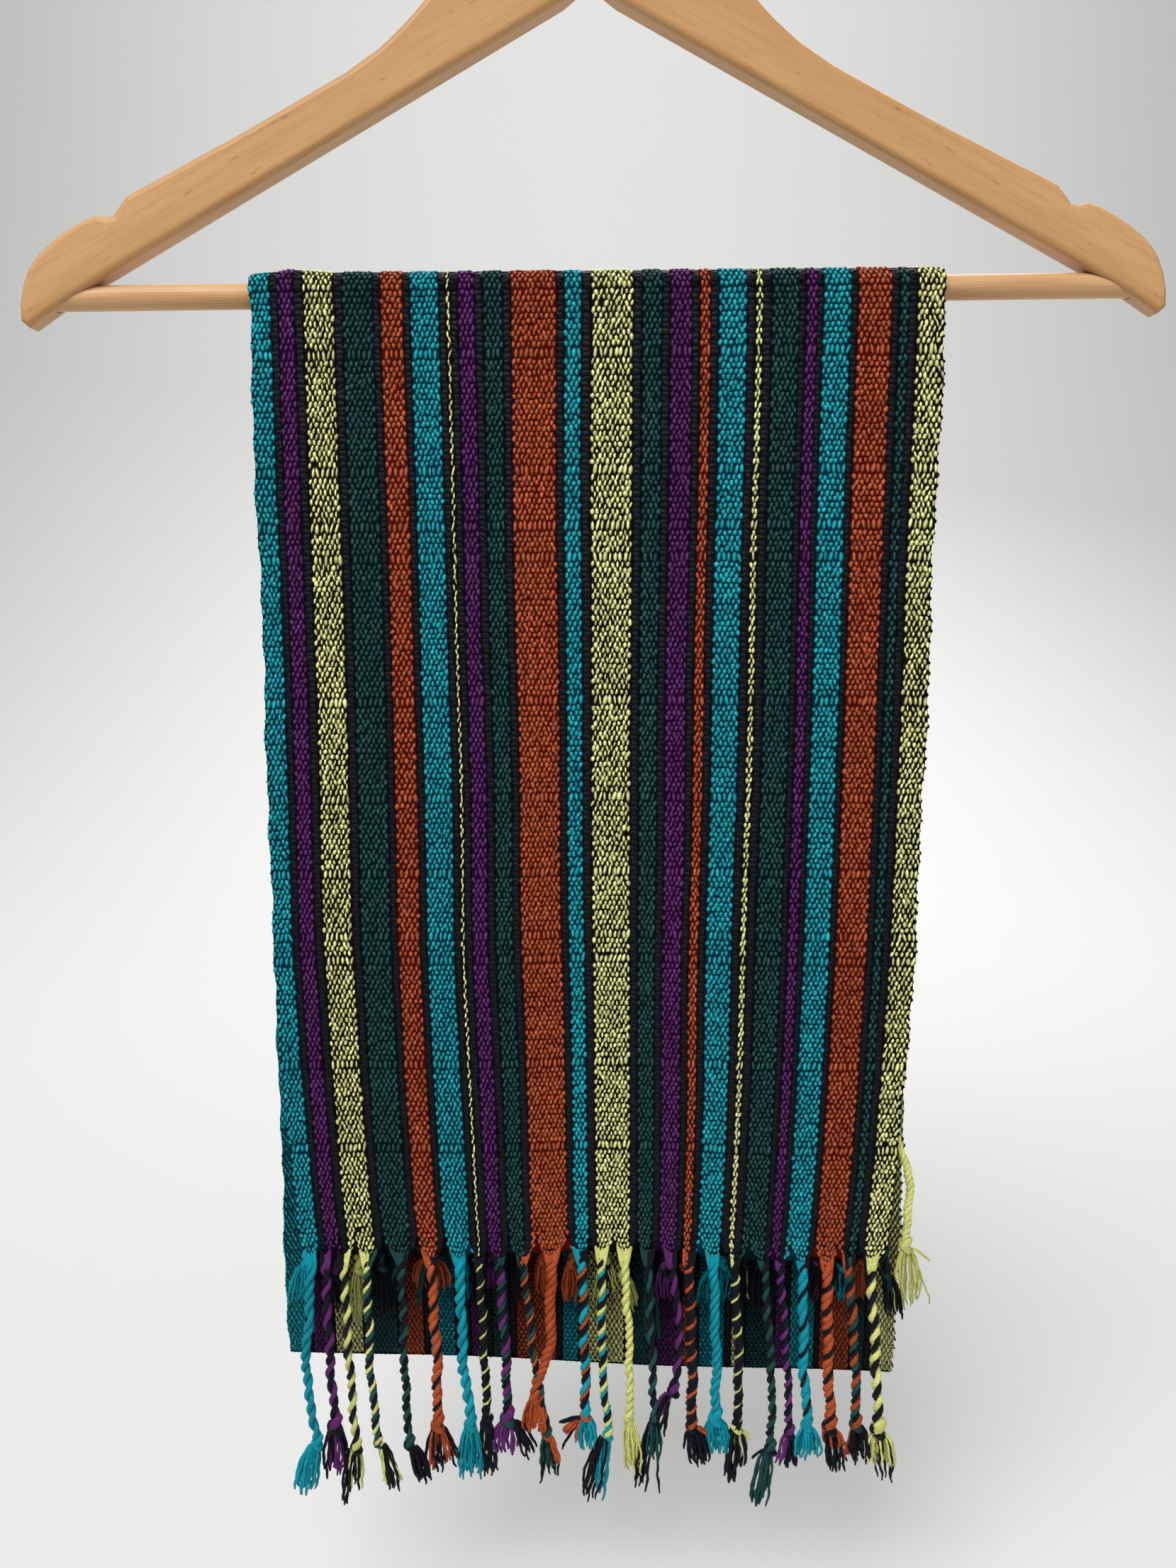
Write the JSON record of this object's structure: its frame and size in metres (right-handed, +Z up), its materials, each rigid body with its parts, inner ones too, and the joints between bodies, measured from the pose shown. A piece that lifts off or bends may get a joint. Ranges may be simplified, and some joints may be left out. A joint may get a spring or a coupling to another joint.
{
  "type": "woven scarf on wooden clothes hanger",
  "caption": "Striped handwoven scarf with knotted twisted fringes, doubled over the bar of a wooden clothes hanger that hangs by its hook.",
  "frame": {"origin": "inside of the hook's crown, where a rail carries the hanger", "axes": "+Z up, along the hanging scarf; +Y from the front of the hanger to its back; +X to the right as seen from the front"},
  "size_m": [0.4456, 0.0222, 0.7522],
  "materials": {
    "beech": "clear satin lacquer",
    "bar_beech": "clear satin lacquer",
    "hook_steel": "bright plated",
    "woven_cloth": "warp faced handweave in teal, purple, yellow, green, orange and black",
    "fringe_yarn": "twisted and knotted bamboo yarn"
  },
  "bodies": {
    "root": {"hanger_yoke": "beech", "hanger_bar": "bar_beech", "hanger_hook": "hook_steel", "scarf_front": "woven_cloth", "scarf_turn": "woven_cloth", "scarf_back": "woven_cloth", "scarf_fold": "woven_cloth", "scarf_back_inside": "woven_cloth", "scarf_turn_inside": "woven_cloth", "scarf_front_inside": "woven_cloth", "fringe_front": "fringe_yarn", "fringe_inside": "fringe_yarn"}
  },
  "joints": []
}
